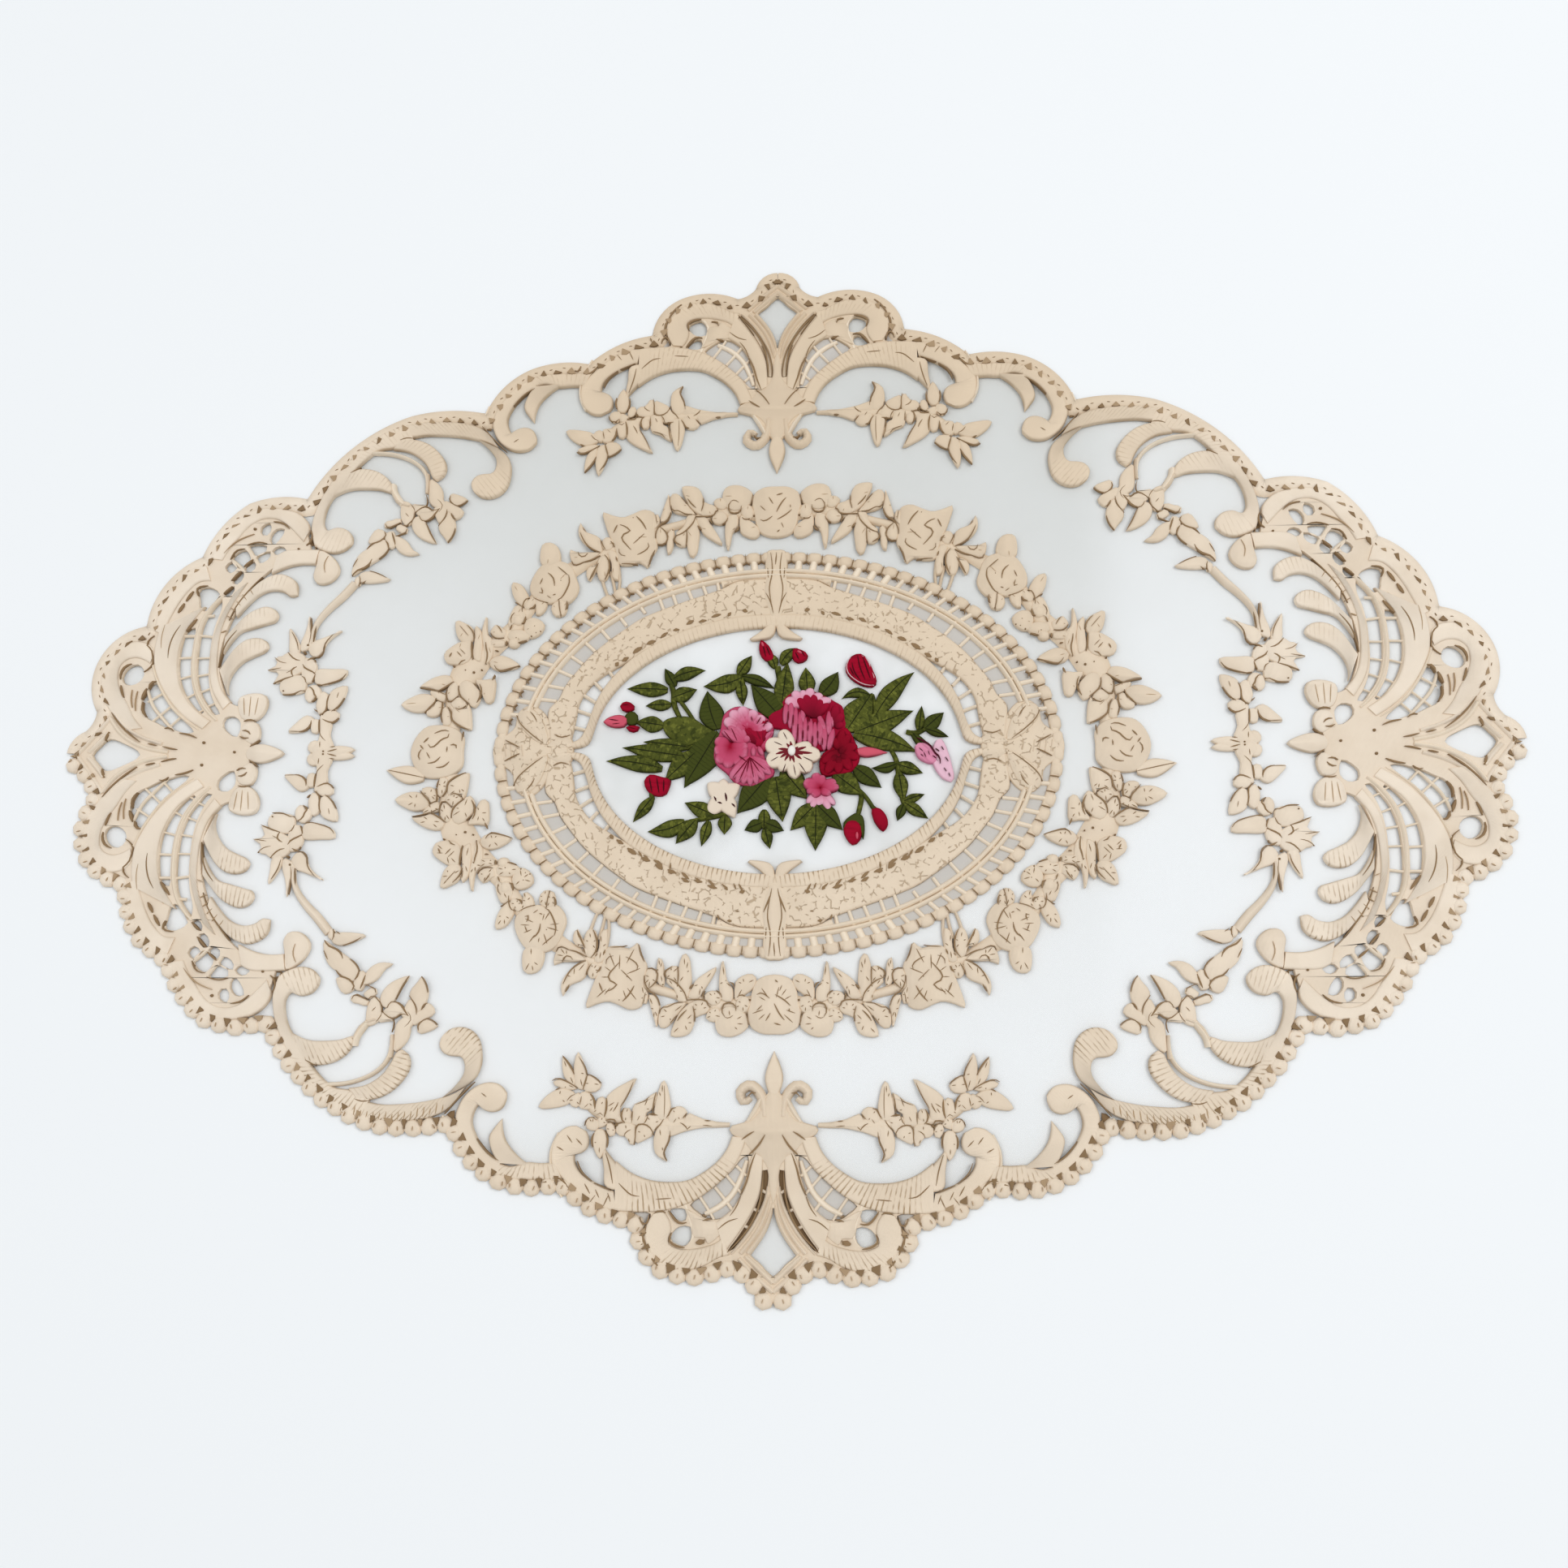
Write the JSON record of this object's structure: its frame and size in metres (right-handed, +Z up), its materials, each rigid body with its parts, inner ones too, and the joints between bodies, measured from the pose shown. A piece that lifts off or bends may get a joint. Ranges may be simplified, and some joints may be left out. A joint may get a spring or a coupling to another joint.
{
  "type": "oval lace doily",
  "caption": "Flat oval lace doily: scalloped openwork scroll border, medallion ring in a rose wreath and a coloured flower bouquet on sheer cloth.",
  "frame": {"origin": "middle of the underside, where the cloth lies on the table", "axes": "+X along the long way of the oval, +Y along the short way, +Z up out of the face with the raised lace"},
  "size_m": [0.4, 0.291, 0.0036],
  "materials": {
    "sheer_organza": "sheer organza ground, seen through, with a fine plain weave",
    "ecru_lace": "ecru satin-stitch lace thread, warm beige, soft sheen on the raised cords",
    "leaf_green": "olive green satin-stitch thread with darker veins",
    "rose_pink": "shaded rose pink satin-stitch thread",
    "pale_pink": "pale pink satin-stitch thread",
    "crimson": "crimson satin-stitch thread with pink lights",
    "cream_thread": "cream satin-stitch thread with a burgundy heart"
  },
  "bodies": {
    "root": {"blossom_cream": "cream_thread", "blossom_pale": "pale_pink", "blossom_pink": "rose_pink", "border_lace": "ecru_lace", "bouquet_leaves": "leaf_green", "bud_left": "crimson", "bud_lower": "crimson", "bud_lower_right": "crimson", "bud_top_left": "crimson", "bud_top_right": "crimson", "bud_upper_right": "crimson", "buds_far_left": "crimson", "garland_left": "ecru_lace", "garland_right": "ecru_lace", "ground_panel": "sheer_organza", "medallion_lace": "ecru_lace", "pansy_cream": "cream_thread", "rose_pink_left": "rose_pink", "rose_pink_top": "rose_pink", "rose_red_right": "crimson", "sprig_bottom_left": "ecru_lace", "sprig_bottom_right": "ecru_lace", "sprig_top_left": "ecru_lace", "sprig_top_right": "ecru_lace", "wreath_lace": "ecru_lace"}
  },
  "joints": []
}
